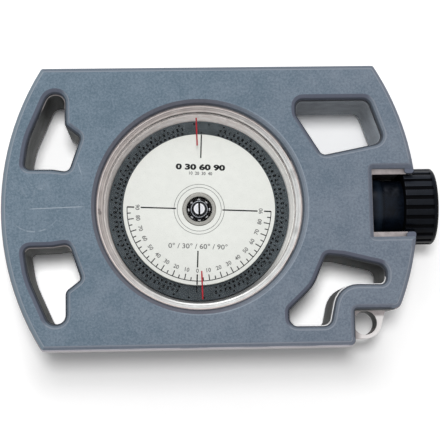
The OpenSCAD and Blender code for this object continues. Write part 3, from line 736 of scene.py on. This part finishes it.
def on_wheel(angle, radius, up):
    """The matrix that puts a piece of print at an angle, a radius and a height on the wheel."""
    turn = Matrix.Rotation(WHEEL_TURN + math.radians(angle), 4, "Z")
    return turn @ Matrix.Translation((radius * MM, 0, up))


def letters(words, height, radius, angle, up, turn=0.0, bold=0.0, wide=1.0):
    """Figures whose middle lies at a radius and an angle on the wheel, standing towards the rim."""
    bpy.ops.object.text_add()
    text = bpy.context.object
    text.data.body = words
    text.data.size = height * MM / FIGURE_HEIGHT
    text.data.extrude = PRINT_THICK / 2 * MM
    text.data.offset = bold * MM
    text.data.resolution_u = 3
    text.data.align_x = "CENTER"
    text.data.align_y = "CENTER"
    bpy.ops.object.convert(target="MESH")
    upright = Matrix.Rotation(math.radians(90 + turn), 4, "Z")
    text.data.transform(on_wheel(angle, radius, up) @ upright @ Matrix.Diagonal((wide, 1, 1, 1)))
    return text


def mark(inner, outer, width, angle, up):
    """A straight mark along a radius of the wheel."""
    bpy.ops.mesh.primitive_cube_add(size=MM)
    line = bpy.context.object
    size = Matrix.Diagonal((outer - inner, width, PRINT_THICK, 1))
    line.data.transform(on_wheel(angle, (inner + outer) / 2, up) @ size)
    return line


def arc(radius, width, start, turn, up):
    """A printed line along a circle round the wheel's axis."""
    bpy.ops.mesh.primitive_plane_add(size=MM, rotation=(math.pi / 2, 0, 0))
    line = bpy.context.object
    bpy.ops.object.transform_apply()
    size = Matrix.Diagonal((width, 1, PRINT_THICK, 1))
    line.data.transform(on_wheel(start, radius, up) @ size)
    bpy.ops.object.mode_set(mode="EDIT")
    bpy.ops.mesh.select_all(action="SELECT")
    bpy.ops.mesh.spin(
        steps=max(12, int(turn / 2.5)), angle=-math.radians(turn), center=(0, 0, 0), axis=(0, 0, 1)
    )
    bpy.ops.mesh.select_all(action="SELECT")
    bpy.ops.mesh.remove_doubles(threshold=1e-7)
    bpy.ops.mesh.normals_make_consistent(inside=False)
    bpy.ops.object.mode_set(mode="OBJECT")
    return line


def together(name, material, pieces):
    """Joins pieces of print on the wheel into one."""
    only(*pieces)
    bpy.ops.object.join()
    return settle(bpy.context.object, name, material, "wheel")


# The dial's print: a scale of degrees, from 0 at the bottom to 90 at either side
on_face = FACE_UP + PRINT_GAP
on_drum = DRUM_UP + PRINT_GAP
SCALE_RADIUS = 22.05
LINE_WIDTH = 0.4
TOP, LEFT, BOTTOM, RIGHT = 90, 180, 270, 0
CROSS_LINES = [
    (LEFT, 7.1, 17.9), (LEFT, 19.9, 22), (RIGHT, 7.1, 17.9), (RIGHT, 19.9, 22), (TOP, 15.9, 23.2),
    (BOTTOM, 12.8, 17.9), (BOTTOM, 20, 23.2),
]
lines = [arc(SCALE_RADIUS, 0.24, LEFT, 180, on_face)]
for degree in range(0, 181, 5):
    length = 1.85 if degree % 10 == 0 else 1.1
    lines.append(mark(SCALE_RADIUS - length, 22.1, 0.3, LEFT + degree, on_face))
for angle, inner, outer in CROSS_LINES:
    lines.append(mark(inner, outer, LINE_WIDTH, angle, on_face))
for angle, outer in ((TOP, 24.7), (BOTTOM, 25.4)):
    lines.append(mark(23.4, outer, LINE_WIDTH, angle, on_drum))
lines.append(letters("0 30 60 90", 1.62, 12.95, TOP, on_face, turn=180, bold=0.12, wide=1.5))
together("dial_lines", INK, lines)

figures = [
    letters(str(abs(90 - degree)), 1.2, 18.95, LEFT + degree, on_face, bold=0.03)
    for degree in range(0, 181, 10)
]
figures += [
    letters("0° / 30° / 60° / 90°", 1.5, 11.5, BOTTOM, on_face, bold=0.02, wide=1.12),
    letters("10  20  30  40", 0.95, 11.05, TOP, on_face, turn=180, bold=0.03, wide=0.95),
]
together("dial_figures", GREY_INK, figures)
together("dial_circles", GREY_INK, [arc(r, 0.14, 0, 360, on_face) for r in (6.74, 7.7)])

# The drum's print: plain figures and dots in lanes, with patches at the top and the bottom that
# are bare for so many degrees on either side
ROWS = 108
BARE = 13
rows = [mark(26.75, 27.3, 0.6, angle, on_drum) for angle in range(5, 360, 10)]
for count in range(ROWS):
    angle = count * 360 / ROWS
    if min(abs(angle - bare) for bare in (TOP, BOTTOM)) < BARE:
        continue
    rows.append(letters(str(count % 10), 0.85, 25.85, angle, on_drum, bold=0.12))
    rows.append(mark(24.0, 24.65, 0.7, angle + 0.6, on_drum))
    if count % 3 == 0:
        rows.append(mark(25.0, 25.2, 0.9, angle + 1.7, on_drum))
together("drum_figures", DRUM_INK, rows)


def seen(tree):
    """1 for what the camera sees, directly, mirrored or through glass, and 0 for other light."""
    rays = ("Is Camera Ray", "Is Glossy Ray", "Is Transmission Ray")
    direct, mirrored, through = (tree.add("ShaderNodeLightPath", out=name) for name in rays)
    return direct.most(mirrored).most(through)


def floor_finish(name):
    """Plain white that keeps the object's shadow, and runs into pure white far away.

    What is seen of it returns more light than it casts on the object, which is painted light: most
    in the four openings, a little beside the body, and none along the body's lower edge, a painted
    deeper shadow.
    """
    f = Finish(name, Roughness=0.9, Specular_IOR_Level=0.0)
    f.paint(f.mix(f.noise(40, 2), colour(231, 231, 231), colour(234, 234, 234)))
    x, y = f.along("X"), f.along("Y")

    # Painted light: how much more light is returned inside the body's outline, more at the left and
    # in the lower openings, and outside it
    rightward = x.step(-20, 20)
    upper = f.mix(rightward, grey(1.0), grey(0.68))
    lower = f.mix(rightward, grey(1.42), grey(1.18))
    inside = f.mix(y.step(-8, 8), lower, upper)
    below = y.step(-20, -44) * y.step(-60, -46) * abs(x - 2).step(62, 44)
    outside = f.mix(below, grey(0.34), grey(0))

    # Where the body's outline is, without the lanyard corner
    reach = (abs(x + 1) - 57).most(abs(y) - 41)
    under = reach.step(1, -3) * f.within(0.5, 3) * (1 - x.step(46, 49) * y.step(-29, -32))

    more = f.add("ShaderNodeBsdfDiffuse", {}, {"Color": f.mix(under, outside, inside)})
    none = f.add("ShaderNodeBsdfDiffuse", {}, {"Color": grey(0)})
    extra = f.add("ShaderNodeMixShader", {}, {0: seen(f), 1: none, 2: more})
    plain = Value(f, f.shader.outputs[0])
    lit = f.add("ShaderNodeAddShader", {}, {0: plain, 1: extra})
    far = f.add("ShaderNodeEmission", {}, {"Strength": 1.0})
    distance = f.radius().step(110, 320)
    whole = f.add("ShaderNodeMixShader", {}, {0: seen(f) * distance, 1: lit, 2: far})
    f.feed(f.tree.nodes["Material Output"].inputs["Surface"], whole)
    return f.material


# The floor lies just under the instrument's back
FLOOR_SIZE = 4
FLOOR_DROP = 0.2 * MM
bpy.ops.mesh.primitive_plane_add(size=FLOOR_SIZE, location=(0, 0, -FLOOR_DROP))
floor = bpy.context.object
floor.name = "floor"
floor.data.materials.append(floor_finish("floor_white"))

# A soft white room, which is seen brighter than it lights
world = bpy.data.worlds.new("room")
world.use_nodes = True
scene.world = world
room = Nodes(world.node_tree)
soft = room.add("ShaderNodeBackground", {}, {"Color": grey(1), "Strength": 0.5})
bright = room.add("ShaderNodeBackground", {}, {"Color": grey(1), "Strength": 1.0})
both = room.add("ShaderNodeMixShader", {}, {0: seen(room), 1: soft, 2: bright})
room.feed(world.node_tree.nodes["World Output"].inputs["Surface"], both)


def lamp(name, place, size, watts, mirrored=True):
    """A round lamp that looks at the object's origin."""
    bpy.ops.object.light_add(type="AREA", location=place)
    light = bpy.context.object
    light.name = name
    light.data.shape = "DISK"
    light.data.size = size
    light.data.energy = watts
    light.visible_glossy = mirrored
    light.rotation_euler = (-Vector(place)).to_track_quat("-Z", "Y").to_euler()


# One lamp high over the object, and a fainter one beyond its upper edge
lamp("key_lamp", (-0.035, 0.125, 1.0), 0.24, 4.4, mirrored=False)
lamp("upper_lamp", (-0.05, 0.6, 0.5), 0.3, 1.0)
